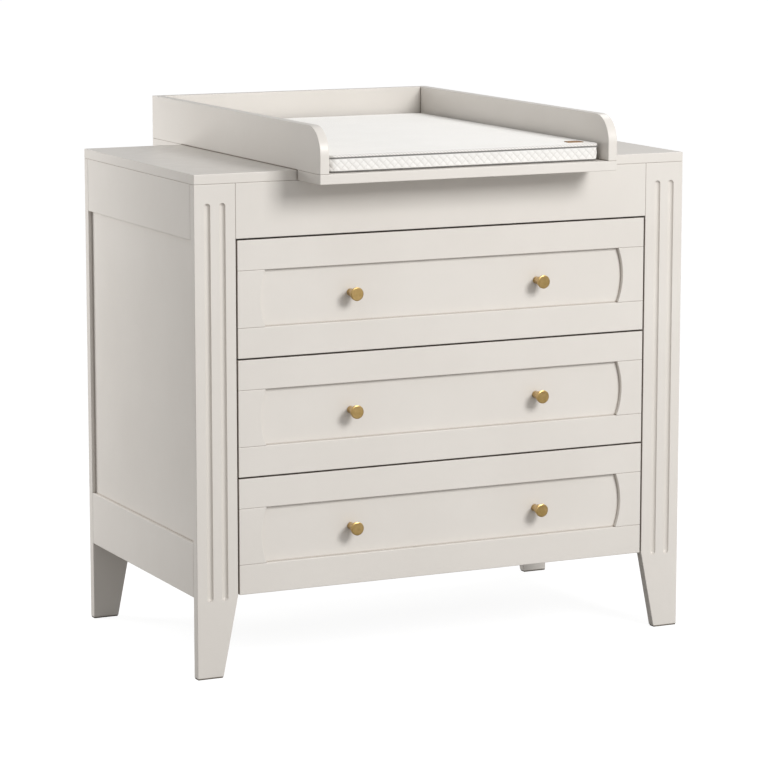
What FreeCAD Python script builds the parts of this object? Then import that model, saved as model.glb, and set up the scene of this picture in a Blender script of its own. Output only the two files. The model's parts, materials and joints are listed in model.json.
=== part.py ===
import FreeCAD, Part
import os
from FreeCAD import Vector

# A changing table: a chest with three drawers, a lift-off changing tray on top, and a mat in the tray.
# Millimetres. +Z is up, the drawers open towards -Y. The origin is on the floor, under the middle
# of the whole footprint, which the tray sets from front to back.

# ---- chest ----
chest_width = 1000.0
chest_depth = 550.0
chest_height = 918.0
board = 18.0                  # every painted board
leg_height = 150.0            # floor to the underside of the chest
apron_height = 100.0          # front and rear top rails, and the side frames' upper rails
side_lower_rail_height = 100.0
post_width = 80.0
foot_width = 50.0             # the post's width at the floor, tapered on its inner side
side_recess = 7.5             # side panel's face behind the side frame's face
back_thickness = 4.0
panel_tongue = 6.0            # how far a panel enters the frame round it
edge_round = 1.3              # eased edges of the painted boards

# ---- flutes in the front posts ----
flute_pitch = 29.0
flute_radius = 6.0            # round-nosed cutter
flute_depth = 6.0
flute_top_margin = 34.0       # flute's end below the top board
flute_foot_overrun = 7.0      # flute's end below the chest's underside

# ---- floor glides ----
glide_height = 2.0
glide_inset = 0.8             # inside the edges of the foot
glide_corner_radius = 1.0
glide_pin_radius = 1.5
glide_pin_length = 14.0

# ---- drawers ----
drawer_names = ("lower", "middle", "upper")
front_gap = 3.0               # round each drawer front
front_rail_height = 55.0
front_stile_width = 54.5      # at the recess corners
recess_bulge = 10.0           # the recess's ends bow outwards by this much
recess_depth = 9.0
box_lift = 30.0               # drawer side's lower edge above the front's lower edge
box_side_height = 150.0
box_rear_play = 30.0          # between the drawer box and the cabinet's back panel
box_board = 12.0
box_bottom_thickness = 6.0
box_bottom_lift = 12.0        # underside of the drawer's bottom above the sides' lower edge
box_groove = 5.0

# ---- telescopic runners ----
runner_end_play = 28.0        # drawer side's length left free behind the runner
runner_height = 45.0
runner_thickness = 13.0
runner_sheet = 1.2
runner_play = 0.4             # between one runner member and the next
runner_setback = 2.0          # behind the posts
batten_height = 45.0
floor_play = 1.0              # bottom board's front edge behind the drawer front

# ---- knobs ----
knob_spacing = 383.0
knob_length = 32.0
knob_face_radius = 12.5
knob_face_bevel = 1.6
knob_rim = 3.6
knob_base_radius = 6.4
knob_base_height = 1.0
knob_neck_radius = 5.8
knob_flare_share = 0.47       # of the flare's growth, reached at half its height
knob_screw_radius = 2.0
knob_screw_depth = 12.0
knob_screw_head_radius = 4.0
knob_screw_head_height = 2.4

# ---- tray ----
tray_width = 600.0
tray_depth = 800.0
tray_side_height = 84.0
tray_front_overhang = 100.0   # in front of the chest
tray_corner_radius = 50.0
rest_gap = 0.3                # under what lies loose on something else
hook_play = 1.5               # between the tray's end boards and the chest's top
tray_screw_radius = 2.0
tray_screw_head_radius = 4.0
tray_screw_head_height = 2.5
tray_screw_grip = 30.0        # screw length past the board that it holds
tray_screw_inset = 25.0       # from the end of the board

# ---- mat ----
mat_thickness = 32.0
mat_front_inset = 18.0        # behind the tray's front edge
mat_side_play = 7.5           # on each side, inside the tray
mat_back_play = 14.0
mat_corner_radius = 14.0
mat_edge_radius = 6.0

# ---- anti-tip brackets ----
bracket_width = 30.0
bracket_leg = 32.0
bracket_sheet = 2.0
bracket_hole_radius = 2.6     # for the wall tie's screw
bracket_hole_reach = 20.0     # from the chest's back
bracket_inset = 30.0          # bracket's middle from the rear post's inner edge
bracket_screw_radius = 1.8
bracket_screw_head_radius = 3.5
bracket_screw_head_height = 2.0
bracket_screw_length = 15.0
bracket_screw_pitch = 16.0
bracket_screw_drop = 16.0     # below the bracket's flange

# ---- places worked out from the sizes above ----
half_width = chest_width / 2
half_opening = half_width - post_width
front_y = tray_front_overhang - tray_depth / 2
back_y = front_y + chest_depth
inner_front_y = front_y + board
inner_back_y = back_y - board
carcass_top = chest_height - board
inner_half_width = half_width - board
side_panel_thickness = board - side_recess
drawer_pitch = (carcass_top - apron_height - leg_height) / len(drawer_names)
front_height = drawer_pitch - front_gap
half_front = half_opening - front_gap
box_half_width = half_opening - runner_thickness
box_side_length = inner_back_y - back_thickness - inner_front_y - box_rear_play
runner_front_y = inner_front_y + runner_setback
runner_length = box_side_length - runner_setback - runner_end_play
tray_floor = chest_height + rest_gap
tray_front_y = -tray_depth / 2
tray_back_y = tray_depth / 2
half_tray = tray_width / 2
mat_width = tray_width - 2 * (board + mat_side_play)
mat_depth = tray_depth - board - mat_front_inset - mat_back_play
Y_AXIS = Vector(0, 1, 0)
Z_AXIS = Vector(0, 0, 1)


def box(x, y, z):
    """A block between the two ends given for each axis."""
    size = [abs(ends[1] - ends[0]) for ends in (x, y, z)]
    return Part.makeBox(*size, Vector(min(x), min(y), min(z)))


def eased(shape, radius=edge_round):
    """The shape with all its edges rounded over."""
    return shape.makeFillet(radius, shape.Edges)


def eased_box(x, y, z):
    return eased(box(x, y, z))


def mirrored(shape):
    """The shape's twin on the other side of the middle plane."""
    return shape.mirror(Vector(0, 0, 0), Vector(1, 0, 0))


def extruded(edges, along):
    return Part.Face(Part.Wire(edges)).extrude(along)


def polyline(points):
    return [Part.LineSegment(a, b).toShape() for a, b in zip(points, points[1:])]


def save(name, solids):
    """Writes one node. A node of several like pieces keeps them as separate solids."""
    solids = solids if isinstance(solids, list) else [solids]
    singles = [solid for shape in solids for solid in shape.Solids]
    shape = singles[0] if len(singles) == 1 else Part.makeCompound(singles)
    shape.exportStep("parts/" + name + ".step")


# ---- chest ----

def post_blank(y):
    """The left post's board, tapered below the chest on its inner side."""
    inner = -half_opening
    taper = (post_width - foot_width) / leg_height
    foot = inner - (leg_height - glide_height) * taper
    corners = [
        Vector(-half_width, y, glide_height),
        Vector(foot, y, glide_height),
        Vector(inner, y, leg_height),
        Vector(inner, y, carcass_top),
        Vector(-half_width, y, carcass_top),
    ]
    return eased(extruded(polyline(corners + corners[:1]), Vector(0, board, 0)))


def flute(x):
    """A round-bottomed groove with ball ends in the front face of a post."""
    y = front_y - (flute_radius - flute_depth)
    low = leg_height - flute_foot_overrun + flute_radius
    high = carcass_top - flute_top_margin - flute_radius
    cutter = Part.makeCylinder(flute_radius, high - low, Vector(x, y, low), Z_AXIS)
    for end in (low, high):
        cutter = cutter.fuse(Part.makeSphere(flute_radius, Vector(x, y, end)))
    return cutter


def glide(y):
    """A plastic floor glide with its pin, under the left post whose front face is at this depth."""
    pad_x = (-half_width + glide_inset, -half_width + foot_width - glide_inset)
    pad_y = (y + glide_inset, y + board - glide_inset)
    pad = box(pad_x, pad_y, (0, glide_height))
    upright = [edge for edge in pad.Edges if edge.BoundBox.ZLength > glide_height / 2]
    pad = pad.makeFillet(glide_corner_radius, upright)
    pin_at = Vector(sum(pad_x) / 2, sum(pad_y) / 2, glide_height)
    return pad.fuse(Part.makeCylinder(glide_pin_radius, glide_pin_length, pin_at, Z_AXIS))


def posts_and_glides():
    front_glide = glide(front_y)
    rear_glide = glide(inner_back_y)
    front = post_blank(front_y).cut(front_glide)
    middle = -half_width + post_width / 2
    for side in (-1, 1):
        front = front.cut(flute(middle + side * flute_pitch / 2))
    rear = post_blank(inner_back_y).cut(rear_glide)
    save("front_left_post", front)
    save("front_right_post", mirrored(front))
    save("rear_left_post", rear)
    save("rear_right_post", mirrored(rear))
    glides = [front_glide, rear_glide]
    save("foot_glides", glides + [mirrored(one) for one in glides])


def side_frames():
    """Two rails and a thin recessed panel between the posts of each side."""
    frame_x = (-half_width, -inner_half_width)
    frame_y = (inner_front_y, inner_back_y)
    low = leg_height + side_lower_rail_height
    high = carcass_top - apron_height
    panel_x = (-inner_half_width - side_panel_thickness, -inner_half_width)
    panel = box(panel_x, frame_y, (low - panel_tongue, high + panel_tongue))
    upper = eased_box(frame_x, frame_y, (high, carcass_top)).cut(panel)
    lower = eased_box(frame_x, frame_y, (leg_height, low)).cut(panel)
    pieces = {"side_panel": panel, "upper_rail": upper, "lower_rail": lower}
    for name, shape in pieces.items():
        save("left_" + name, shape)
        save("right_" + name, mirrored(shape))


def top_bottom_and_back(bracket_holes):
    top_z = (carcass_top, chest_height)
    save("top_board", eased_box((-half_width, half_width), (front_y, back_y), top_z))
    rail_x = (-half_opening, half_opening)
    rail_z = (carcass_top - apron_height, carcass_top)
    save("front_top_rail", eased_box(rail_x, (front_y, inner_front_y), rail_z))
    rear_rail = eased_box(rail_x, (inner_back_y, back_y), rail_z)
    for hole in bracket_holes:
        rear_rail = rear_rail.cut(hole)
    save("rear_top_rail", rear_rail)
    inner_x = (-inner_half_width, inner_half_width)
    back_y_ends = (inner_back_y - back_thickness, inner_back_y)
    save("back_panel", box(inner_x, back_y_ends, (leg_height, carcass_top)))
    floor_y = (inner_front_y + floor_play, back_y_ends[0])
    save("bottom_board", box(inner_x, floor_y, (leg_height, leg_height + board)))


def brackets():
    """Steel angles on the rear top rail for a wall tie, and their screws."""
    top = carcass_top - edge_round
    x = half_opening - bracket_inset
    bracket_x = (x - bracket_width / 2, x + bracket_width / 2)
    plate = box(bracket_x, (back_y, back_y + bracket_sheet), (top - bracket_leg, top))
    flange = box(bracket_x, (back_y, back_y + bracket_leg), (top - bracket_sheet, top))
    hole_at = Vector(x, back_y + bracket_hole_reach, top - bracket_sheet)
    hole = Part.makeCylinder(bracket_hole_radius, bracket_sheet, hole_at, Z_AXIS)
    angle = plate.fuse(flange).removeSplitter().cut(hole)
    screws = []
    for side in (-1, 1):
        at = Vector(x + side * bracket_screw_pitch / 2, back_y + bracket_sheet, top - bracket_screw_drop)
        head = Part.makeCylinder(bracket_screw_head_radius, bracket_screw_head_height, at, Y_AXIS)
        shank = Part.makeCylinder(bracket_screw_radius, bracket_screw_length, at, -Y_AXIS)
        screws.append(head.fuse(shank))
    for screw in screws:
        angle = angle.cut(screw)
    screws += [mirrored(screw) for screw in screws]
    save("wall_brackets", [angle, mirrored(angle)])
    save("bracket_screws", screws)
    return screws


# ---- runners ----

def channel(outer_x, inner_x, half_height, z):
    """A runner member: a web at outer_x and two flanges that reach to inner_x."""
    y = (runner_front_y, runner_front_y + runner_length)
    web_x = outer_x + runner_sheet * (1 if inner_x > outer_x else -1)
    blank = box((outer_x, inner_x), y, (z - half_height, z + half_height))
    inside = half_height - runner_sheet
    return blank.cut(box((web_x, inner_x), y, (z - inside, z + inside)))


def runner_set(z):
    """The left runner's cabinet, middle and drawer members at this height."""
    cabinet_x = -half_opening
    drawer_x = -box_half_width
    reach = runner_sheet + runner_play
    half = runner_height / 2
    cabinet = channel(cabinet_x, drawer_x - reach, half, z)
    middle = channel(cabinet_x + reach, drawer_x - reach, half - reach, z)
    drawer = channel(drawer_x, cabinet_x + 2 * reach, half - 2 * reach, z)
    return cabinet, middle, drawer


# ---- drawers ----

def drawer_front(z):
    """The drawer front's rails, stiles and panel, with a recess whose ends bow outwards."""
    y = (front_y, inner_front_y)
    low = z + front_rail_height
    high = z + front_height - front_rail_height
    corner = half_front - front_stile_width
    panel_half = corner + recess_bulge + panel_tongue
    panel_y = (front_y + recess_depth, inner_front_y)
    panel = box((-panel_half, panel_half), panel_y, (low - panel_tongue, high + panel_tongue))
    rail_ends = ((z, low), (high, z + front_height))
    rails = [eased_box((-half_front, half_front), y, ends).cut(panel) for ends in rail_ends]
    inner_low = Vector(-corner, front_y, low)
    inner_high = Vector(-corner, front_y, high)
    bow = Vector(-corner - recess_bulge, front_y, (low + high) / 2)
    outer = [inner_high, Vector(-half_front, front_y, high), Vector(-half_front, front_y, low), inner_low]
    outline = [Part.Arc(inner_low, bow, inner_high).toShape()] + polyline(outer)
    stile = eased(extruded(outline, Vector(0, board, 0))).cut(panel)
    return rails, [stile, mirrored(stile)], panel


def knob_and_screw(z):
    """The left knob, flaring from a small base to a bevelled disc, and the screw through the panel."""
    x = -knob_spacing / 2
    floor = front_y + recess_depth
    flare_start = 2 * knob_base_height
    disc_back = knob_length - knob_rim
    flare_radius = knob_face_radius - knob_face_bevel / 2

    def at(radius, height):
        return Vector(x + radius, floor - height, z)

    profile = polyline([
        at(0, 0),
        at(knob_base_radius, 0),
        at(knob_base_radius, knob_base_height),
        at(knob_neck_radius, flare_start),
    ])
    bend_radius = knob_neck_radius + (flare_radius - knob_neck_radius) * knob_flare_share
    bend = at(bend_radius, (flare_start + disc_back) / 2)
    profile.append(Part.Arc(at(knob_neck_radius, flare_start), bend, at(flare_radius, disc_back)).toShape())
    profile += polyline([
        at(flare_radius, disc_back),
        at(knob_face_radius, disc_back),
        at(knob_face_radius, knob_length - knob_face_bevel / 2),
        at(knob_face_radius - knob_face_bevel, knob_length),
        at(0, knob_length),
        at(0, 0),
    ])
    knob = Part.Face(Part.Wire(profile)).revolve(Vector(x, floor, z), Y_AXIS, 360)
    shank_length = side_to_back(recess_depth) + knob_screw_depth
    start = Vector(x, inner_front_y, z)
    shank = Part.makeCylinder(knob_screw_radius, shank_length, start, -Y_AXIS)
    head = Part.makeCylinder(knob_screw_head_radius, knob_screw_head_height, start, Y_AXIS)
    screw = head.fuse(shank)
    return knob.cut(screw), screw


def side_to_back(recess):
    """Thickness of a panel whose back is flush with its frame's back."""
    return board - recess


def drawer_box(z):
    """The left side, the back and the bottom of the box behind the front."""
    low = z + box_lift
    z_ends = (low, low + box_side_height)
    back_end = inner_front_y + box_side_length
    inner_half = box_half_width - box_board
    bottom_z = (low + box_bottom_lift, low + box_bottom_lift + box_bottom_thickness)
    bottom_y = (inner_front_y, back_end - box_board + box_groove)
    bottom = box((-inner_half - box_groove, inner_half + box_groove), bottom_y, bottom_z)
    side = box((-box_half_width, -inner_half), (inner_front_y, back_end), z_ends).cut(bottom)
    back = box((-inner_half, inner_half), (back_end - box_board, back_end), z_ends).cut(bottom)
    return side, back, bottom


def drawers():
    """All drawers with their runners, and the battens that carry the runners."""
    cabinet_runners = []
    battens = []
    for index, name in enumerate(drawer_names):
        z = leg_height + index * drawer_pitch
        node = name + "_drawer_"
        rails, stiles, panel = drawer_front(z)
        knob, screw = knob_and_screw(z + front_height / 2)
        screws = [screw, mirrored(screw)]
        side, back, bottom = drawer_box(z)
        runner_z = z + box_lift + box_side_height / 2
        cabinet, middle, inner = runner_set(runner_z)
        batten_z = (runner_z - batten_height / 2, runner_z + batten_height / 2)
        batten_y = (inner_front_y, inner_back_y - back_thickness)
        batten = box((-inner_half_width, -half_opening), batten_y, batten_z)
        save(node + "front_rails", rails)
        save(node + "front_stiles", stiles)
        save(node + "front_panel", panel.cut(screws[0]).cut(screws[1]))
        save(node + "knobs", [knob, mirrored(knob)])
        save(node + "knob_screws", screws)
        save(node + "left_side", side)
        save(node + "right_side", mirrored(side))
        save(node + "back", back)
        save(node + "bottom", bottom)
        save(node + "runner_inner", [inner, mirrored(inner)])
        save(node + "runner_middle", [middle, mirrored(middle)])
        cabinet_runners += [cabinet, mirrored(cabinet)]
        battens += [batten, mirrored(batten)]
    save("cabinet_runners", cabinet_runners)
    save("runner_battens", battens)


# ---- tray and mat ----

def tray_screw(x, y, z):
    """A countersunk screw with its head's face at this point, driven upwards."""
    at = Vector(x, y, z)
    head = Part.makeCone(tray_screw_head_radius, tray_screw_radius, tray_screw_head_height, at, Z_AXIS)
    return head.fuse(Part.makeCylinder(tray_screw_radius, board + tray_screw_grip, at, Z_AXIS))


def tray():
    """Two side boards and a back between them, on two end boards that hook over the chest's top."""
    top = tray_floor + tray_side_height
    arc_start = tray_front_y + tray_corner_radius
    inset = tray_corner_radius * (1 - 0.5 ** 0.5)
    x = -half_tray

    def at(y, z):
        return Vector(x, y, z)

    corner = Part.Arc(
        at(tray_front_y, top - tray_corner_radius),
        at(tray_front_y + inset, top - inset),
        at(arc_start, top),
    ).toShape()
    rest = polyline([
        at(arc_start, top),
        at(tray_back_y, top),
        at(tray_back_y, tray_floor),
        at(tray_front_y, tray_floor),
        at(tray_front_y, top - tray_corner_radius),
    ])
    side = eased(extruded([corner] + rest, Vector(board, 0, 0)))
    inner_x = (x + board, -x - board)
    back = eased_box(inner_x, (tray_back_y - board, tray_back_y), (tray_floor, top))
    end_x = (x, -x)
    end_z = (tray_floor - board, tray_floor)
    front_ends = (tray_front_y, front_y - hook_play)
    rear_ends = (back_y + hook_play, tray_back_y)
    front_board = eased_box(end_x, front_ends, end_z)
    rear_board = eased_box(end_x, rear_ends, end_z)

    screws = []
    for low, high in (front_ends, rear_ends):
        for y in (low + tray_screw_inset, high - tray_screw_inset):
            screws.append(tray_screw(x + board / 2, y, end_z[0]))
    for back_x in (x + board + tray_screw_inset, x / 3):
        screws.append(tray_screw(back_x, tray_back_y - board / 2, end_z[0]))
    for screw in screws:
        side = side.cut(screw)
    both = screws + [mirrored(screw) for screw in screws]
    for screw in both:
        back = back.cut(screw)
        front_board = front_board.cut(screw)
        rear_board = rear_board.cut(screw)
    save("tray_left_side", side)
    save("tray_right_side", mirrored(side))
    save("tray_back", back)
    save("tray_front_board", front_board)
    save("tray_rear_board", rear_board)
    save("tray_screws", both)


def mat():
    """The mat as a plain pad with rounded corners and edges."""
    x = -half_tray + board + mat_side_play
    y = tray_front_y + mat_front_inset
    z = tray_floor + rest_gap
    pad = box((x, x + mat_width), (y, y + mat_depth), (z, z + mat_thickness))
    upright = [edge for edge in pad.Edges if edge.BoundBox.ZLength > mat_thickness / 2]
    pad = pad.makeFillet(mat_corner_radius, upright)
    level = [edge for edge in pad.Edges if edge.BoundBox.ZLength < mat_thickness / 2]
    save("changing_mat", pad.makeFillet(mat_edge_radius, level))


os.makedirs("parts", exist_ok=True)
posts_and_glides()
side_frames()
top_bottom_and_back(brackets())
drawers()
tray()
mat()
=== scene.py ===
import json
import math

import bpy
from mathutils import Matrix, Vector
from mathutils.bvhtree import BVHTree


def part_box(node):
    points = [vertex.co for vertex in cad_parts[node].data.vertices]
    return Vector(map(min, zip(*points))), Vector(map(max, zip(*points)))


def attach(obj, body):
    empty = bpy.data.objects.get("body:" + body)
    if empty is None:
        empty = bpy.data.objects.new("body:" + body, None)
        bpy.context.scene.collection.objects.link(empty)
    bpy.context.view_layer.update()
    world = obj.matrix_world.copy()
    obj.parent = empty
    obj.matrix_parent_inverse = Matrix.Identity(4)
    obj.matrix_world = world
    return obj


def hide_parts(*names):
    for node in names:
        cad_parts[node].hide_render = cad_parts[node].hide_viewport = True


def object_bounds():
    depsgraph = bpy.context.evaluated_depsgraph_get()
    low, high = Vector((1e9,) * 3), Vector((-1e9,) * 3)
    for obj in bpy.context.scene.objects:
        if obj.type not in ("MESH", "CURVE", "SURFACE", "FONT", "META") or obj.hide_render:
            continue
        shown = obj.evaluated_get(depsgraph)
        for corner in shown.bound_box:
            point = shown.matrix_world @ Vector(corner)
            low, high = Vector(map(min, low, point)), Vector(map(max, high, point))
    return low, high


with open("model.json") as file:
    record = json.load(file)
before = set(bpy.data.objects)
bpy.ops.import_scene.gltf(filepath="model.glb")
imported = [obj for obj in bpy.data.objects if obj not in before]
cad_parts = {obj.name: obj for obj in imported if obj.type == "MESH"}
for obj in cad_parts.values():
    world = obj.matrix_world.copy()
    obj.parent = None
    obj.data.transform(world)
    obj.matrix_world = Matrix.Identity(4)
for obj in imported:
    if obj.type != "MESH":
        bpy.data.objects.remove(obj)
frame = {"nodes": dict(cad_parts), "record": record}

# The looks of the changing table: painted boards, brass knobs, drawer boxes on steel runners,
# and a firm mat with a quilted border. Metres, in the frame of the CAD model.

CAD_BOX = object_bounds()
MM = 0.001

# ---- camera ----
VIEW_AZIMUTH = math.radians(-25.58)
VIEW_ELEVATION = math.radians(9.47)
VIEW_DISTANCE = 6.3316
AIM_RIGHT = 0.0146            # aim point from the middle of the CAD box, across the view
AIM_UP = -0.0374              # and up the view
LENS = 153.75
SENSOR = 36.0

# ---- lights: place, aim, side of the square, watts, whether it shows in reflections ----
LIGHTS = {
    "key": ((1.03, -3.45, 2.36), (0.0, -0.3, 0.5), 1.25, 98.0, True),
    "left_fill": ((-1.36, 1.15, 0.9), (-0.5, 0.0, 0.6), 0.7, 16.9, False),
    "top_fill": ((1.5, 0.9, 2.7), (0.2, 0.0, 0.9), 1.0, 12.2, True),
    "front_fill": ((0.2, -4.4, 0.45), (0.0, -0.3, 0.5), 1.5, 12.0, True),
}
WORLD_STRENGTH = 0.50
FLOOR_HALF_SIDE = 60.0
FLOOR_GLOW = 0.90             # the floor's emission, seen by the camera alone

# ---- mat ----
MAT_CORNER = 16 * MM          # radius of the mat's corners in plan
MAT_STEP = 1.1 * MM           # spacing of the border's columns
SEAM_HEIGHT = 26.0 * MM       # middle of the seam above the mat's underside
SEAM_HALF_GAP = 1.1 * MM
PIPING_RADIUS = 1.15 * MM
PIPING_STEP = 4 * MM          # spacing of the pipings' rings
PIPING_INSET = 1.5 * MM       # upper piping's middle, inside the mat's outline
# a dark cord low on the border: partly a piping, partly painted shade standing in for the shadow gap
# under the mat
FOOT_PIPING_AND_SHADE_INSET = 4.6 * MM
FOOT_PIPING_AND_SHADE_HEIGHT = 1.3 * MM
QUILT_PITCH = 15.0 * MM       # diamonds along the border
QUILT_HEIGHT = 14.5 * MM      # and up it
QUILT_MIDDLE = 13.2 * MM      # height that the diamonds are centred on
QUILT_PUFF = 1.3 * MM
QUILT_ENDS = (2.6 * MM, 24.4 * MM)   # heights that the quilting starts and ends at
FALLING_LINE = 0.20           # breadth of the painted shade along the falling stitched lines, as a sine
RISING_LINE = 0.17
RISING_SHARE = 0.6            # painted shade on the rising lines, as a share of the falling lines' strength
QUILT_FADE = 2 * MM           # the puff grows to its full size over this height
ROLL_RADIUS = 3.6 * MM        # top cover's rolled edge
ROLL_END = 4.5 * MM           # its ribbed cloth ends this far in,
ROLL_BLEND = 2.5 * MM         # fading out over this width
ROLL_TUCK = 0.3 * MM          # its first turned ring lies this far below its edge
STITCH_INSET = 6.5 * MM       # row of stitches that holds the roll
STITCH_WIDTH = 1.3 * MM
STITCH_DEPTH = 0.45 * MM
EAR_REACH = 2.6 * MM          # the roll's corners stand out by this much
EAR_LENGTH = 14 * MM
EAR_WIDTH = 8 * MM            # and the ear fades out this far into the top
CROWN = 1.5 * MM              # most that the settled top rises above the CAD pad's top
CROWN_REACH = 60 * MM         # from its edge inwards, the top turns from plain to settled
TOP_DROP = 0.6 * MM           # top's edge below the CAD pad's top
TOP_SAG = 1.5 * MM            # most that the settled top lies below it
SIDE_DENT = 1.2 * MM          # most that the settled side may stand in,
SIDE_SWELL = 0.8 * MM         # and out
SIDE_SHARE = 0.6              # of the settled side's swell that the border takes
TOP_CELL = 8 * MM
UNDERSIDE_INSET = 13.5 * MM
UNDERSIDE_CORNER = 2 * MM
UNDERSIDE_HEIGHT = 0.05 * MM
SIM_SHRINK = 2.0 * MM         # the simulated pad starts this much inside the CAD pad
SIM_BEVEL = 6 * MM
SIM_VOXEL = 6 * MM
SIM_CAP = 4 * MM              # most that a point of it moves
SIM_FRAMES = 20
RAY_START = 0.05              # from the surface that a ray looks for
LABEL_SIZE = (33 * MM, 17 * MM, 1.1 * MM)
LABEL_CORNER = 2.0 * MM
LABEL_STEPS = 96
LABEL_FROM_RIGHT = 38 * MM    # label's middle from the mat's right edge
LABEL_FROM_FRONT = 32 * MM

# ---- materials' shared values ----
PAINTED_SHADE_REACH = 4.5 * MM  # how far into joints, gaps and recesses the painted shade reaches
WHITE = (1.0, 1.0, 1.0, 1.0)


def tint(r, g, b):
    return (r, g, b, 1.0)


def add_object(name, data):
    thing = bpy.data.objects.new(name, data)
    bpy.context.scene.collection.objects.link(thing)
    return thing


def facing(direction):
    """The rotation that turns a camera or light to look this way."""
    return direction.to_track_quat("-Z", "Y")


# ---- materials ----

class Shader:
    """A material being wired. Its textures read the surface's own place in metres."""

    def __init__(self, name, **values):
        self.material = bpy.data.materials.new(name)
        self.material.use_nodes = True
        self.tree = self.material.node_tree
        self.bsdf = self.tree.nodes["Principled BSDF"]
        self.place = self.add("TexCoord").outputs["Object"]
        for key, value in values.items():
            self.bsdf.inputs[key.replace("_", " ")].default_value = value

    def add(self, kind, inputs=None, **settings):
        node = self.tree.nodes.new("ShaderNode" + kind)
        for key, value in settings.items():
            setattr(node, key, value)
        for key, value in (inputs or {}).items():
            self.connect(value, node.inputs[key])
        return node

    def connect(self, value, socket):
        """Links an output to the socket, or sets a constant on it."""
        if isinstance(value, bpy.types.NodeSocket):
            self.tree.links.new(value, socket)
        else:
            socket.default_value = value

    def stretched(self, scale):
        """The surface's place, scaled along each axis."""
        return self.add("Mapping", {"Vector": self.place, "Scale": scale}).outputs["Vector"]

    def noise(self, scale, detail=3.0, rough=0.5, stretch=None, warp=0.0):
        vector = self.place if stretch is None else self.stretched(stretch)
        inputs = {"Vector": vector, "Scale": scale, "Detail": detail}
        inputs.update({"Roughness": rough, "Distortion": warp})
        return self.add("TexNoise", inputs).outputs["Fac"]

    def cells(self, scale, feature="F1"):
        node = self.add("TexVoronoi", {"Vector": self.place, "Scale": scale}, feature=feature)
        return node.outputs["Distance"]

    def bands(self, scale, axis, warp):
        inputs = {"Vector": self.place, "Scale": scale, "Distortion": warp}
        return self.add("TexWave", inputs, bands_direction=axis).outputs["Fac"]

    def attribute(self, name):
        return self.add("Attribute", attribute_name=name).outputs["Fac"]

    def math(self, operation, a, b):
        node = self.add("Math", operation=operation)
        for socket, value in zip(node.inputs, (a, b)):
            self.connect(value, socket)
        return node.outputs["Value"]

    def ramp(self, factor, *stops):
        """A colour read from (position, colour) stops."""
        node = self.add("ValToRGB", {"Fac": factor})
        elements = node.color_ramp.elements
        while len(elements) < len(stops):
            elements.new(0.5)
        for element, (position, colour) in zip(elements, stops):
            element.position = position
            element.color = colour
        return node.outputs["Color"]

    def spread(self, factor, low, high, start=0.3, end=0.7):
        """The factor's range from start to end, moved to low to high."""
        inputs = {"Value": factor, "From Min": start, "From Max": end, "To Min": low, "To Max": high}
        return self.add("MapRange", inputs).outputs["Result"]

    def blend(self, factor, a, b, mode="MIX"):
        node = self.add("Mix", data_type="RGBA", blend_type=mode)
        for socket, value in zip((node.inputs[0], node.inputs[6], node.inputs[7]), (factor, a, b)):
            self.connect(value, socket)
        return node.outputs[2]

    def painted_crevice_shade(self, colour, reach, shade):
        """The colour, darkened by painted shade where the surface is shut in by others within reach."""
        openness = self.add("AmbientOcclusion", {"Distance": reach}, samples=8).outputs["AO"]
        return self.blend(1.0, colour, self.ramp(openness, (0.15, shade), (0.85, WHITE)), "MULTIPLY")

    def bump(self, height, depth, strength=1.0, normal=None):
        inputs = {"Height": height, "Distance": depth, "Strength": strength}
        if normal is not None:
            inputs["Normal"] = normal
        return self.add("Bump", inputs).outputs["Normal"]

    def finish(self, colour, rough=None, normal=None):
        for key, socket in (("Base Color", colour), ("Roughness", rough), ("Normal", normal)):
            if socket is not None:
                self.tree.links.new(socket, self.bsdf.inputs[key])
        return self.material


def satin_paint(name):
    """Sprayed warm off-white lacquer: faint clouding, orange peel, a soft sheen, and warm painted shade
    in joints, gaps and recesses.
    """
    s = Shader(name, IOR=1.46)
    light, dark = tint(0.735, 0.700, 0.655), tint(0.700, 0.664, 0.618)
    clouds = s.noise(5.0, detail=4.0)
    speckle = s.noise(900.0, detail=2.0)
    colour = s.ramp(clouds, (0.25, dark), (0.75, light))
    colour = s.blend(0.05, colour, s.ramp(speckle, (0.3, dark), (0.7, WHITE)), "MULTIPLY")
    # painted shade: warm dark brown wherever joints, gaps, flutes and recesses are shut in
    colour = s.painted_crevice_shade(colour, PAINTED_SHADE_REACH, tint(0.32, 0.25, 0.19))
    rough = s.spread(s.noise(38.0, detail=3.0), 0.30, 0.40)
    peel = s.bump(s.noise(420.0, detail=2.0), 0.00006, 0.5)
    grain = s.bump(speckle, 0.00002, 0.4, peel)
    return s.finish(colour, rough, grain)


def melamine(name, light, dark):
    """Matt board facing with a faint embossed grain along the board."""
    s = Shader(name, IOR=1.5)
    grain = s.noise(60.0, detail=5.0, stretch=(1.0, 0.08, 1.0), warp=0.4)
    colour = s.ramp(grain, (0.35, tint(*dark)), (0.65, tint(*light)))
    rough = s.spread(s.noise(90.0), 0.5, 0.62)
    return s.finish(colour, rough, s.bump(grain, 0.00008, 0.5))


def hardboard(name):
    """Painted hardboard: fine fibres under thin matt paint."""
    s = Shader(name, IOR=1.45)
    fibres = s.noise(700.0, detail=4.0, stretch=(1.0, 1.0, 0.5))
    colour = s.ramp(s.noise(9.0), (0.3, tint(0.63, 0.60, 0.55)), (0.7, tint(0.65, 0.62, 0.57)))
    rough = s.spread(fibres, 0.62, 0.75)
    return s.finish(colour, rough, s.bump(fibres, 0.0001, 0.6))


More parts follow.
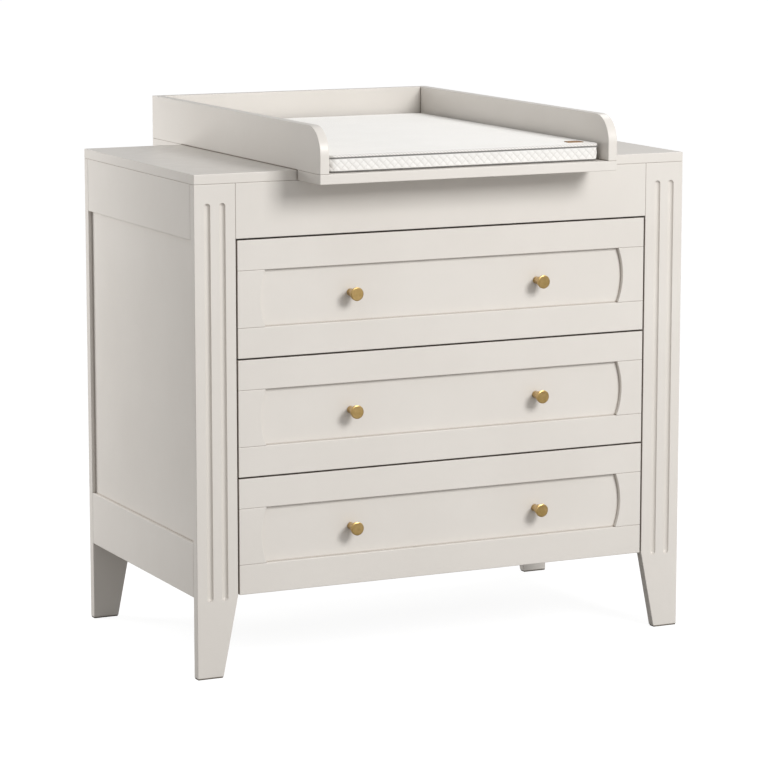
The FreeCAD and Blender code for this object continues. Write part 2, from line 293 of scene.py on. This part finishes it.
def pine(name):
    """Planed pine with growth rings along the batten."""
    s = Shader(name, IOR=1.5)
    rings = s.noise(55.0, detail=6.0, stretch=(1.0, 0.05, 1.6), warp=0.8)
    pores = s.noise(900.0, stretch=(1.0, 0.04, 1.0))
    light, dark = tint(0.62, 0.43, 0.23), tint(0.42, 0.25, 0.11)
    colour = s.ramp(rings, (0.35, light), (0.52, dark), (0.6, light))
    colour = s.blend(0.2, colour, s.ramp(pores, (0.4, dark), (0.6, WHITE)), "MULTIPLY")
    rough = s.spread(rings, 0.5, 0.62)
    return s.finish(colour, rough, s.bump(pores, 0.0001, 0.4))


def brass(name):
    """Antique brass, brushed, with slight tarnish."""
    s = Shader(name, Metallic=1.0, Anisotropic=0.25)
    tarnish = s.noise(160.0, detail=4.0)
    colour = s.ramp(tarnish, (0.3, tint(0.53, 0.36, 0.135)), (0.7, tint(0.63, 0.44, 0.19)))
    brushed = s.noise(2200.0, detail=2.0, stretch=(0.15, 1.0, 1.0))
    rough = s.spread(brushed, 0.30, 0.42)
    return s.finish(colour, rough, s.bump(brushed, 0.00002, 0.5))


def zinc(name):
    """Zinc-plated steel with faint spangle and rolling marks along the runner."""
    s = Shader(name, Metallic=1.0)
    spangle = s.cells(260.0)
    colour = s.ramp(spangle, (0.1, tint(0.55, 0.56, 0.57)), (0.7, tint(0.68, 0.69, 0.70)))
    marks = s.noise(1500.0, stretch=(1.0, 0.03, 1.0))
    rough = s.spread(marks, 0.26, 0.42)
    return s.finish(colour, rough, s.bump(marks, 0.00003, 0.4))


def moulded_plastic(name):
    """Dark brown plastic with the fine grain of its mould."""
    s = Shader(name, IOR=1.46)
    cloud = s.noise(220.0)
    colour = s.ramp(cloud, (0.3, tint(0.13, 0.11, 0.09)), (0.7, tint(0.17, 0.145, 0.12)))
    pores = s.bump(s.noise(2400.0), 0.00004, 0.5)
    return s.finish(colour, s.spread(cloud, 0.45, 0.6), pores)


def knit_top(name):
    """The mat's top: a fine pique knit. The rolled attribute is 1 on its rolled, ribbed edge."""
    s = Shader(name, Sheen_Weight=0.5, Sheen_Roughness=0.45)
    rolled = s.attribute("rolled")
    rows = s.math("MULTIPLY", s.bands(74.0, "X", warp=0.3), s.bands(74.0, "Y", warp=0.3))
    ribs = s.bands(92.0, "DIAGONAL", warp=0.5)
    yarn = s.noise(2600.0, detail=2.0)
    colour = s.ramp(s.noise(14.0), (0.3, tint(0.94, 0.918, 0.875)), (0.7, tint(0.97, 0.948, 0.905)))
    dimpled = s.ramp(rows, (0.0, tint(0.74, 0.73, 0.71)), (0.2, WHITE))
    colour = s.blend(0.5, colour, dimpled, "MULTIPLY")
    ribbed = s.ramp(ribs, (0.1, tint(0.62, 0.60, 0.57)), (0.6, tint(0.77, 0.75, 0.72)))
    colour = s.blend(rolled, colour, ribbed)
    normal = s.bump(rows, 0.0005, 0.5)
    normal = s.bump(s.math("MULTIPLY", ribs, rolled), 0.0006, 0.7, normal)
    normal = s.bump(yarn, 0.0001, 0.5, normal)
    return s.finish(colour, s.spread(yarn, 0.78, 0.92), normal)


def quilted_border(name):
    """Soft woven border. The stitch_shade attribute is 1 on a line of quilting, where the cloth gets
    painted crease shade.
    """
    s = Shader(name, Sheen_Weight=0.3, Sheen_Roughness=0.4)
    weave = s.noise(1900.0, detail=2.0)
    base = s.ramp(s.noise(30.0), (0.3, tint(0.77, 0.755, 0.73)), (0.7, tint(0.81, 0.795, 0.77)))
    # painted shade in the quilting's stitched creases, grey-brown
    colour = s.blend(s.math("MULTIPLY", s.attribute("stitch_shade"), 0.7), base, tint(0.52, 0.50, 0.47))
    normal = s.bump(weave, 0.00015, 0.6)
    return s.finish(colour, s.spread(weave, 0.75, 0.9), normal)


def grey_piping(name):
    """Dark grey twisted cord."""
    s = Shader(name, Sheen_Weight=0.2)
    twist = s.noise(1400.0, detail=2.0)
    colour = s.ramp(twist, (0.3, tint(0.16, 0.155, 0.148)), (0.7, tint(0.25, 0.245, 0.235)))
    return s.finish(colour, s.spread(twist, 0.7, 0.9), s.bump(twist, 0.0002, 0.7))


def tan_leather(name):
    """Plain brown leather: pebbled grain and slightly darker edges of the grain cells."""
    s = Shader(name, IOR=1.45)
    grain = s.cells(850.0, feature="DISTANCE_TO_EDGE")
    patches = s.noise(120.0, detail=4.0)
    colour = s.ramp(patches, (0.3, tint(0.23, 0.105, 0.022)), (0.7, tint(0.34, 0.165, 0.038)))
    colour = s.blend(0.5, colour, s.ramp(grain, (0.0, tint(0.5, 0.45, 0.4)), (0.12, WHITE)), "MULTIPLY")
    return s.finish(colour, s.spread(grain, 0.6, 0.45, 0.0, 0.2), s.bump(grain, 0.0003, 0.6))


def pale_floor(name):
    """A pale seamless floor that shows white to the camera and returns little light."""
    s = Shader(name, Roughness=0.9)
    cloud = s.noise(2.0)
    seen = s.ramp(cloud, (0.3, tint(0.17, 0.17, 0.17)), (0.7, tint(0.18, 0.18, 0.18)))
    lit = tint(0.365, 0.355, 0.345)
    camera_ray = s.add("LightPath").outputs["Is Camera Ray"]
    colour = s.blend(camera_ray, lit, seen)
    glow = s.math("MULTIPLY", camera_ray, FLOOR_GLOW)
    s.tree.links.new(glow, s.bsdf.inputs["Emission Strength"])
    s.bsdf.inputs["Emission Color"].default_value = WHITE
    return s.finish(colour)


def paint_cad_nodes(knit):
    """Gives each CAD node the material of its slot in the record."""
    by_slot = {
        "painted_board": satin_paint("satin_paint"),
        "drawer_board": melamine("drawer_melamine", (0.745, 0.725, 0.685), (0.72, 0.70, 0.655)),
        "cabinet_floor": melamine("floor_melamine", (0.65, 0.63, 0.59), (0.62, 0.60, 0.56)),
        "back_board": hardboard("painted_hardboard"),
        "batten_wood": pine("planed_pine"),
        "brass": brass("antique_brass"),
        "steel": zinc("zinc_plated_steel"),
        "glide_plastic": moulded_plastic("glide_plastic"),
        "mat_cover": knit,
    }
    for part in frame["record"]["subparts"]:
        node = frame["nodes"][part["node"]]
        node.data.materials.clear()
        node.data.materials.append(by_slot[part["material_slot"]])


# ---- mesh helpers ----

def new_piece(name, vertices, faces, material):
    mesh = bpy.data.meshes.new(name)
    mesh.from_pydata([tuple(v) for v in vertices], [], faces)
    mesh.validate()
    mesh.materials.append(material)
    mesh.polygons.foreach_set("use_smooth", [True] * len(mesh.polygons))
    return add_object(name, mesh)


def ring_faces(count, rings):
    """Quads between closed rings of count vertices each."""
    faces = []
    for row in range(rings - 1):
        for i in range(count):
            j = (i + 1) % count
            low, high = row * count, (row + 1) * count
            faces.append((low + i, low + j, high + j, high + i))
    return faces


class Outline:
    """The mat's outline: a rectangle with rounded corners, walked anticlockwise from above."""

    def __init__(self, low, high, radius):
        self.middle = (low + high) / 2
        self.half = ((high.x - low.x) / 2, (high.y - low.y) / 2)
        self.radius = radius
        self.sides = [2 * (self.half[0] - radius), 2 * (self.half[1] - radius)] * 2
        self.arc = math.pi / 2 * radius
        self.length = sum(self.sides) + 4 * self.arc

    def at(self, along):
        """(point, outward normal, distance from the nearest corner's middle) at this length."""
        along %= self.length
        for side in range(4):
            run = self.sides[side]
            turn = side * math.pi / 2
            outward = Vector((math.sin(turn), -math.cos(turn), 0))
            forward = Vector((math.cos(turn), math.sin(turn), 0))
            reach = self.half[(side + 1) % 2]
            if along <= run:
                point = self.middle + outward * reach + forward * (along - run / 2)
                return point, outward, min(along, run - along) + self.arc / 2
            along -= run
            if along <= self.arc:
                angle = along / self.radius
                centre = self.middle + outward * (reach - self.radius) + forward * run / 2
                normal = outward * math.cos(angle) + forward * math.sin(angle)
                return centre + normal * self.radius, normal, abs(along - self.arc / 2)
            along -= self.arc
        return self.at(0.0)   # only rounding leads here, at the very end of the walk

    def inset(self, x, y):
        """How far inside the outline a point is."""
        dx = abs(x - self.middle.x) - (self.half[0] - self.radius)
        dy = abs(y - self.middle.y) - (self.half[1] - self.radius)
        outside = math.hypot(max(dx, 0.0), max(dy, 0.0))
        return self.radius - outside - min(max(dx, dy), 0.0)

    def outward(self, place):
        """The direction straight out of the outline at a place near it."""
        inner_x, inner_y = (half - self.radius for half in self.half)
        x, y = place.x - self.middle.x, place.y - self.middle.y
        inner = Vector((max(-inner_x, min(inner_x, x)), max(-inner_y, min(inner_y, y)), 0))
        return (Vector((x, y, 0)) - inner).normalized()


# ---- the mat ----

def stuffed_pad(low, high):
    """A cloth simulation of the cover over its foam. Returns what finds the settled surface."""
    bpy.ops.mesh.primitive_cube_add(size=1.0)
    pad = bpy.context.object
    pad.scale = high - low - 2 * Vector((SIM_SHRINK,) * 3)
    pad.location = (low + high) / 2
    bpy.ops.object.transform_apply(location=True, rotation=True, scale=True)
    bevel = pad.modifiers.new("round", "BEVEL")
    bevel.width = SIM_BEVEL
    bevel.segments = 3
    remesh = pad.modifiers.new("remesh", "REMESH")
    remesh.mode = "VOXEL"
    remesh.voxel_size = SIM_VOXEL
    for modifier in (bevel, remesh):
        bpy.ops.object.modifier_apply(modifier=modifier.name)
    rest = [v.co.copy() for v in pad.data.vertices]
    cloth = pad.modifiers.new("cloth", "CLOTH")
    cloth.settings.use_pressure = True
    cloth.settings.uniform_pressure_force = 4.0
    cloth.settings.tension_stiffness = 40.0
    cloth.settings.compression_stiffness = 40.0
    cloth.settings.bending_stiffness = 2.0
    cloth.settings.effector_weights.gravity = 0.0
    scene = bpy.context.scene
    for frame_number in range(1, SIM_FRAMES + 1):
        scene.frame_set(frame_number)
    bpy.ops.object.modifier_apply(modifier=cloth.name)
    scene.frame_set(1)
    for vertex, start in zip(pad.data.vertices, rest):
        move = vertex.co - start
        if move.length > SIM_CAP:
            vertex.co = start + move * (SIM_CAP / move.length)
    subdivision = pad.modifiers.new("smooth", "SUBSURF")
    subdivision.levels = 1
    bpy.ops.object.modifier_apply(modifier=subdivision.name)
    tree = BVHTree.FromObject(pad, bpy.context.evaluated_depsgraph_get())
    bpy.data.objects.remove(pad)
    return tree


def crowned(tree, high, outline):
    """A function that gives the top's height at a point: plain at the edge, settled inside it."""
    def height(x, y):
        inner = min(1.0, outline.inset(x, y) / CROWN_REACH)
        plain = high.z - TOP_DROP + CROWN * inner * (2 - inner) * 0.5
        if tree is None:
            return plain
        hit = tree.ray_cast(Vector((x, y, high.z + RAY_START)), Vector((0, 0, -1)))[0]
        if hit is None:
            return plain
        return plain * (1 - inner) + inner * min(max(hit.z, high.z - TOP_SAG), high.z + CROWN)
    return height


def side_swell(tree):
    """A function that gives how far the settled side stands out or in at a point of the outline."""
    def swell(point, normal, z):
        if tree is None:
            return 0.0
        start = Vector((point.x, point.y, z)) + normal * RAY_START
        hit = tree.ray_cast(start, -normal)[0]
        if hit is None:
            return 0.0
        out = (Vector((hit.x, hit.y, 0)) - Vector((point.x, point.y, 0))).dot(normal)
        return min(max(out, -SIDE_DENT), SIDE_SWELL)
    return swell


def ear(corner_distance):
    """How far the rolled edge stands out near a corner, where its seam allowance gathers."""
    return EAR_REACH * math.exp(-(corner_distance / EAR_LENGTH) ** 2 * 2)


def quilt(along, height, pitch):
    """(puff, stitch_shade) of the diamond quilting: puff is 0 on a stitched line and 1 in a diamond;
    stitch_shade is the painted crease shade on the stitched lines, weaker on the rising ones.
    """
    falling = abs(math.sin(math.pi * (along / pitch + height / QUILT_HEIGHT)))
    rising = abs(math.sin(math.pi * (along / pitch - height / QUILT_HEIGHT)))
    # painted crease shade along both sets of stitched lines
    falling_stitch_shade = math.exp(-(falling / FALLING_LINE) ** 2)
    rising_stitch_shade = RISING_SHARE * math.exp(-(rising / RISING_LINE) ** 2)
    return (falling ** 1.2 * rising) ** 0.36, max(falling_stitch_shade, rising_stitch_shade)


def mat_border(outline, low, swell, material):
    """The quilted band, from under the mat's edge up into the seam."""
    count = round(outline.length / MAT_STEP)
    pitch = outline.length / round(outline.length / QUILT_PITCH)
    # each row's inset from the outline and height above the mat's underside, in millimetres
    foot = [(14.0, 0.0), (12.0, 0.1), (9.0, 1.6), (6.5, 2.3), (3.2, 2.4), (1.7, 2.8), (1.1, 3.3)]
    head = [(1.0, 23.6), (1.6, 24.3), (2.6, 24.8), (4.0, 25.0)]
    band = [(1.05, 3.7 + 1.12 * i) for i in range(18)]
    rows = [(inset * MM, height * MM, 0.0) for inset, height in foot]
    rows += [(inset * MM, height * MM, 1.0) for inset, height in band]
    rows += [(inset * MM, height * MM, 0.0) for inset, height in head]
    vertices, stitch_shades = [], []
    for inset, height, quilted in rows:
        for i in range(count):
            along = i * outline.length / count
            point, normal, _ = outline.at(along)
            z = low.z + height
            puff, stitch_shade = quilt(along, height - QUILT_MIDDLE, pitch)
            from_ends = min(height - QUILT_ENDS[0], QUILT_ENDS[1] - height)
            fade = quilted * min(1.0, from_ends / QUILT_FADE)
            out = -inset + fade * QUILT_PUFF * puff
            if quilted:
                out += swell(point, normal, z) * SIDE_SHARE
            vertices.append(Vector((point.x, point.y, z)) + normal * out)
            stitch_shades.append(stitch_shade * fade)
    piece = new_piece("mat_border", vertices, ring_faces(count, len(rows)), material)
    attribute = piece.data.attributes.new("stitch_shade", "FLOAT", "POINT")
    attribute.data.foreach_set("value", stitch_shades)
    return piece


def spaced(length, fine):
    """Places along a half length, fine steps near the end and even cells inside it."""
    inner = length - fine[-1]
    cells = max(1, round(inner / TOP_CELL))
    return [length - step for step in fine] + [inner * (1 - i / cells) for i in range(1, cells + 1)]


def sheet_grid(outline, height, fine):
    """Vertices and faces of a sheet that fills the outline, and its edge's vertices in order."""
    middle, radius = outline.middle, outline.radius
    columns, rows = (spaced(half, fine) for half in outline.half)
    xs = [-x for x in columns] + columns[-2::-1]
    ys = [-y for y in rows] + rows[-2::-1]

    def rounded(x, y):
        """Moves a point of the square corner into the round one."""
        ax, ay = abs(x) - (outline.half[0] - radius), abs(y) - (outline.half[1] - radius)
        if ax <= 0 or ay <= 0:
            return x, y
        s, t = ax / radius, ay / radius
        s, t = s * math.sqrt(1 - t * t / 2), t * math.sqrt(1 - s * s / 2)
        return (
            math.copysign(outline.half[0] - radius + s * radius, x),
            math.copysign(outline.half[1] - radius + t * radius, y),
        )

    vertices = []
    for y in ys:
        for x in xs:
            px, py = rounded(x, y)
            px, py = px + middle.x, py + middle.y
            vertices.append(Vector((px, py, height(px, py))))
    across, deep = len(xs), len(ys)
    faces = [
        (j * across + i, j * across + i + 1, (j + 1) * across + i + 1, (j + 1) * across + i)
        for j in range(deep - 1)
        for i in range(across - 1)
    ]
    edge = list(range(across))
    edge += [j * across + across - 1 for j in range(1, deep)]
    edge += [(deep - 1) * across + i for i in range(across - 2, -1, -1)]
    edge += [j * across for j in range(deep - 2, 0, -1)]
    return vertices, faces, edge


def turn_under(outline, seam, vertices, faces, edge):
    """Adds rings of vertices that take the sheet's edge down and in, to the seam. Returns how many."""
    # each ring's inset in millimetres, and its share of the height from the seam to the roll
    turn = [(0.0, 1.0), (0.2, 0.55), (0.7, 0.25), (1.7, 0.06), (3.6, 0.0)]
    count = len(edge)
    rims = [vertices[v].copy() for v in edge]
    previous = edge
    for inset, share in turn:
        ring = []
        for start in rims:
            z = seam + (start.z - ROLL_TUCK - seam) * share
            ring.append(len(vertices))
            level = Vector((start.x, start.y, z))
            vertices.append(level - outline.outward(start) * inset * MM)
        for i in range(count):
            j = (i + 1) % count
            faces.append((previous[i], ring[i], ring[j], previous[j]))
        previous = ring
    return count * len(turn)


def pull_ears(outline, vertices):
    """Makes the roll stand out at the mat's corners."""
    corner = Vector((outline.half[0] - outline.radius, outline.half[1] - outline.radius))
    for vertex in vertices:
        near = max(0.0, 1 - outline.inset(vertex.x, vertex.y) / EAR_WIDTH)
        x, y = vertex.x - outline.middle.x, vertex.y - outline.middle.y
        out = ear((Vector((abs(x), abs(y))) - corner).length) * near
        vertex.x += math.copysign(out, x)
        vertex.y += math.copysign(out, y)


def mat_top(outline, low, height, material):
    """The knit cover: a crowned top with a rolled edge that turns into the seam."""
    # rows of vertices close to the edge, in millimetres from it: fine over the roll and the stitches
    steps = (0, 0.35, 0.9, 1.7, 2.7, 3.6, 4.6, 5.6, 6.5, 7.4, 8.6, 10.5, 14, 19, 26)
    fine = [step * MM for step in steps]

    def top(x, y):
        inset = max(0.0, outline.inset(x, y))
        z = height(x, y)
        if inset < ROLL_RADIUS:
            z -= ROLL_RADIUS - math.sqrt(ROLL_RADIUS ** 2 - (ROLL_RADIUS - inset) ** 2)
        return z - STITCH_DEPTH * math.exp(-((inset - STITCH_INSET) / STITCH_WIDTH) ** 2)

    vertices, faces, edge = sheet_grid(outline, top, fine)
    seam = low.z + SEAM_HEIGHT + SEAM_HALF_GAP
    turned = turn_under(outline, seam, vertices, faces, edge)
    pull_ears(outline, vertices)
    piece = new_piece("mat_top_cover", vertices, faces, material)
    insets = [outline.inset(v.x, v.y) for v in vertices[:-turned]]
    rolled = [max(0.0, min(1.0, (ROLL_END - inset) / ROLL_BLEND)) for inset in insets]
    rolled += [1.0] * turned
    piece.data.attributes.new("rolled", "FLOAT", "POINT").data.foreach_set("value", rolled)
    return piece


def mat_bottom(outline, low, material):
    """The underside, from the border's foot inwards."""
    half = Vector((outline.half[0] - UNDERSIDE_INSET, outline.half[1] - UNDERSIDE_INSET, 0))
    inner = Outline(outline.middle - half, outline.middle + half, UNDERSIDE_CORNER)
    level = low.z + UNDERSIDE_HEIGHT
    vertices, faces, _ = sheet_grid(inner, lambda x, y: level, [0.0, 2 * UNDERSIDE_CORNER])
    return new_piece("mat_underside", vertices, [face[::-1] for face in faces], material)


def piping_round(name, outline, inset, z, material):
    """A closed cord that follows the outline at this height."""
    count = round(outline.length / PIPING_STEP)
    sides = 10
    vertices = []
    for k in range(sides):
        angle = 2 * math.pi * k / sides
        for i in range(count):
            point, normal, corner = outline.at(i * outline.length / count)
            out = PIPING_RADIUS * math.cos(angle) - inset + 0.5 * ear(corner)
            place = Vector((point.x, point.y, z + PIPING_RADIUS * math.sin(angle)))
            vertices.append(place + normal * out)
    faces = ring_faces(count, sides)
    last = (sides - 1) * count
    faces += [(last + i, last + (i + 1) % count, (i + 1) % count, i) for i in range(count)]
    return new_piece(name, vertices, faces, material)


def leather_label(low, high, height, material):
    """A plain tab with rounded corners, lying on the cover."""
    width, depth, thick = LABEL_SIZE
    centre = Vector((high.x - LABEL_FROM_RIGHT, low.y + LABEL_FROM_FRONT, 0))
    half = Vector((width / 2, depth / 2, 0))
    outline = Outline(centre - half, centre + half, LABEL_CORNER)
    count = LABEL_STEPS
    # each ring's inset in millimetres and its height as a share of the tab's thickness:
    # a rounded edge, then the groove of a pressed border
    rings = [(0.0, 0.0), (0.0, 0.7), (0.25, 0.92), (0.7, 1.0), (2.2, 0.9), (3.0, 1.0)]
    vertices = []
    for inset, share in rings:
        for i in range(count):
            point, normal, _ = outline.at(i * outline.length / count)
            place = Vector((point.x, point.y, 0)) - normal * inset * MM
            vertices.append(Vector((place.x, place.y, height(place.x, place.y) + thick * share)))
    faces = ring_faces(count, len(rings))
    faces.append(tuple((len(rings) - 1) * count + i for i in range(count)))
    faces.append(tuple(range(count - 1, -1, -1)))
    return new_piece("mat_label", vertices, faces, material)


def make_mat(knit):
    low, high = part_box("changing_mat")
    outline = Outline(low, high, MAT_CORNER)
    tree = stuffed_pad(low, high)
    height = crowned(tree, high, outline)
    border_cloth = quilted_border("quilted_border")
    cord = grey_piping("grey_piping")
    border = mat_border(outline, low, side_swell(tree), border_cloth)
    top = mat_top(outline, low, height, knit)
    bottom = mat_bottom(outline, low, border_cloth)
    seam, foot = low.z + SEAM_HEIGHT, low.z + FOOT_PIPING_AND_SHADE_HEIGHT
    piping = piping_round("mat_piping", outline, PIPING_INSET, seam, cord)
    # the foot cord: a piping that also serves as painted shade for the gap under the border
    foot_piping_and_shade = piping_round("mat_foot_piping_and_shade", outline, FOOT_PIPING_AND_SHADE_INSET, foot, cord)
    label = leather_label(low, high, height, tan_leather("tan_leather"))
    for piece, slot in ((border, "mat_border"), (top, "mat_cover"), (bottom, "mat_border"),
                        (piping, "mat_piping"), (foot_piping_and_shade, "mat_piping"), (label, "label_leather")):
        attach(piece, "mat")
    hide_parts("changing_mat")


# ---- studio ----

def make_camera():
    low, high = CAD_BOX
    middle = (low + high) / 2
    back = Vector((
        math.sin(VIEW_AZIMUTH) * math.cos(VIEW_ELEVATION),
        -math.cos(VIEW_AZIMUTH) * math.cos(VIEW_ELEVATION),
        math.sin(VIEW_ELEVATION),
    ))
    right = Vector((math.cos(VIEW_AZIMUTH), math.sin(VIEW_AZIMUTH), 0))
    up = back.cross(right)
    data = bpy.data.cameras.new("camera")
    data.lens = LENS
    data.sensor_width = SENSOR
    data.clip_end = 100.0
    camera = add_object("camera", data)
    camera.location = middle + right * AIM_RIGHT + up * AIM_UP + back * VIEW_DISTANCE
    camera.rotation_mode = "QUATERNION"
    camera.rotation_quaternion = facing(-back)
    bpy.context.scene.camera = camera


def area_light(name, place, target, size, power, glossy):
    data = bpy.data.lights.new(name, "AREA")
    data.shape = "SQUARE"
    data.size = size
    data.energy = power
    light = add_object(name, data)
    light.location = place
    light.rotation_mode = "QUATERNION"
    light.rotation_quaternion = facing(Vector(target) - Vector(place))
    light.visible_camera = False
    light.visible_glossy = glossy


def make_studio():
    mesh = bpy.data.meshes.new("floor")
    half = FLOOR_HALF_SIDE
    corners = [(-half, -half, 0), (half, -half, 0), (half, half, 0), (-half, half, 0)]
    mesh.from_pydata(corners, [], [(0, 1, 2, 3)])
    mesh.materials.append(pale_floor("pale_floor"))
    floor = add_object("floor", mesh)
    for name, settings in LIGHTS.items():
        area_light(name, *settings)
    world = bpy.data.worlds.new("studio")
    world.use_nodes = True
    background = world.node_tree.nodes["Background"]
    background.inputs["Color"].default_value = WHITE
    background.inputs["Strength"].default_value = WORLD_STRENGTH
    bpy.context.scene.world = world
    bpy.context.scene.view_settings.view_transform = "Standard"


make_camera()
mat_knit = knit_top("knit_top")
paint_cad_nodes(mat_knit)
make_mat(mat_knit)
make_studio()
